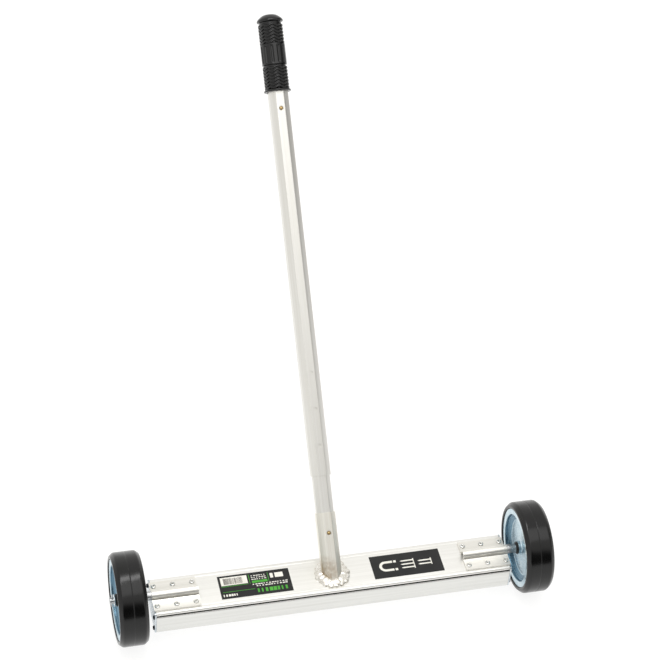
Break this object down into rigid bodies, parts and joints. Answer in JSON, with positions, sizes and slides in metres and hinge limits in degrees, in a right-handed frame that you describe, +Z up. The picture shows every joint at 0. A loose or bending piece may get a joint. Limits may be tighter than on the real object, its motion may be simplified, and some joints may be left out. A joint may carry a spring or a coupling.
{
  "type": "magnetic nail sweeper",
  "caption": "Wheeled magnet bar with a level aluminium housing, axle stubs, solid rubber wheels and a leaning octagonal handle that telescopes and pulls out of its welded socket.",
  "frame": {"origin": "on the floor under the middle of the whole object's box, wheels standing on z = 0", "axes": "+X along the magnet bar towards the right wheel, +Y towards the side the handle leans to, +Z up"},
  "size_m": [0.748, 0.7566, 0.7508],
  "materials": {
    "aluminium_extrusion": "extruded and wiped, fine lengthwise lines",
    "bright_aluminium": "bright extruded mill finish",
    "rivet_aluminium": "bright drawn rivets",
    "weld_aluminium": "as-welded rippled bead",
    "zinc_plate": "bright zinc plate with a blue passivate",
    "bright_steel": "bright drawn steel",
    "spring_steel": "hardened spring strip",
    "ferrite": "ground hard ferrite",
    "tyre_rubber": "moulded solid black rubber",
    "grip_rubber": "moulded soft black grip",
    "black_plastic": "moulded black plastic",
    "brass": "turned brass",
    "label_vinyl": "printed vinyl label"
  },
  "bodies": {
    "head": {"axle_left": "bright_steel", "axle_right": "bright_steel", "axle_saddle_left": "bright_aluminium", "axle_saddle_right": "bright_aluminium", "axle_spacer_left": "bright_steel", "axle_spacer_right": "bright_steel", "axle_washer_left": "zinc_plate", "axle_washer_right": "zinc_plate", "backing_bar": "bright_steel", "cotter_pin_left": "bright_steel", "cotter_pin_right": "bright_steel", "end_plate_left": "zinc_plate", "end_plate_right": "zinc_plate", "end_screw_left_1": "zinc_plate", "end_screw_left_2": "zinc_plate", "end_screw_left_3": "zinc_plate", "end_screw_left_4": "zinc_plate", "end_screw_right_1": "zinc_plate", "end_screw_right_2": "zinc_plate", "end_screw_right_3": "zinc_plate", "end_screw_right_4": "zinc_plate", "handle_socket": "aluminium_extrusion", "label_left": "label_vinyl", "label_right": "label_vinyl", "magnet_1": "ferrite", "magnet_2": "ferrite", "magnet_3": "ferrite", "magnet_4": "ferrite", "magnet_5": "ferrite", "magnet_6": "ferrite", "magnet_channel": "bright_aluminium", "rivet_left_1": "rivet_aluminium", "rivet_left_2": "rivet_aluminium", "rivet_left_3": "rivet_aluminium", "rivet_left_4": "rivet_aluminium", "rivet_left_5": "rivet_aluminium", "rivet_left_6": "rivet_aluminium", "rivet_right_1": "rivet_aluminium", "rivet_right_2": "rivet_aluminium", "rivet_right_3": "rivet_aluminium", "rivet_right_4": "rivet_aluminium", "rivet_right_5": "rivet_aluminium", "rivet_right_6": "rivet_aluminium", "top_plate": "aluminium_extrusion", "weld_bead": "weld_aluminium"},
    "wheel_left": {"rim_inner_left": "zinc_plate", "rim_outer_left": "zinc_plate", "tyre_left": "tyre_rubber", "wheel_bush_left": "black_plastic"},
    "wheel_right": {"rim_inner_right": "zinc_plate", "rim_outer_right": "zinc_plate", "tyre_right": "tyre_rubber", "wheel_bush_right": "black_plastic"},
    "lower_handle": {"lower_tube": "aluminium_extrusion", "socket_button_spring": "spring_steel", "telescope_button_spring": "spring_steel"},
    "upper_handle": {"grip": "grip_rubber", "upper_tube": "aluminium_extrusion"},
    "socket_button": {"socket_button": "brass"},
    "telescope_button": {"telescope_button": "brass"}
  },
  "joints": [
    {"name": "wheel_left_spin", "type": "hinge", "parent": "head", "child": "wheel_left", "pos_m": [-0.343, -0.30028, 0.078], "axis": [1, 0, 0], "continuous": true},
    {"name": "wheel_right_spin", "type": "hinge", "parent": "head", "child": "wheel_right", "pos_m": [0.343, -0.30028, 0.078], "axis": [1, 0, 0], "continuous": true},
    {"name": "handle_pull", "type": "slide", "parent": "head", "child": "lower_handle", "axis": [0, 0.7071, 0.7071], "range_m": [0, 0.1], "deforming": ["socket_button", "socket_button_spring"]},
    {"name": "handle_telescope", "type": "slide", "parent": "lower_handle", "child": "upper_handle", "axis": [0, 0.7071, 0.7071], "range_m": [0, 0.5692], "deforming": ["telescope_button", "telescope_button_spring"]},
    {"name": "socket_button_press", "type": "slide", "parent": "lower_handle", "child": "socket_button", "axis": [0, 0.7071, -0.7071], "range_m": [0, 0.004], "stiffness_N_per_m": 900, "springref_m": -0.003, "deforming": ["socket_button_spring"]},
    {"name": "telescope_button_press", "type": "slide", "parent": "lower_handle", "child": "telescope_button", "axis": [0, 0.7071, -0.7071], "range_m": [0, 0.004], "stiffness_N_per_m": 900, "springref_m": -0.003, "deforming": ["telescope_button_spring"]}
  ]
}
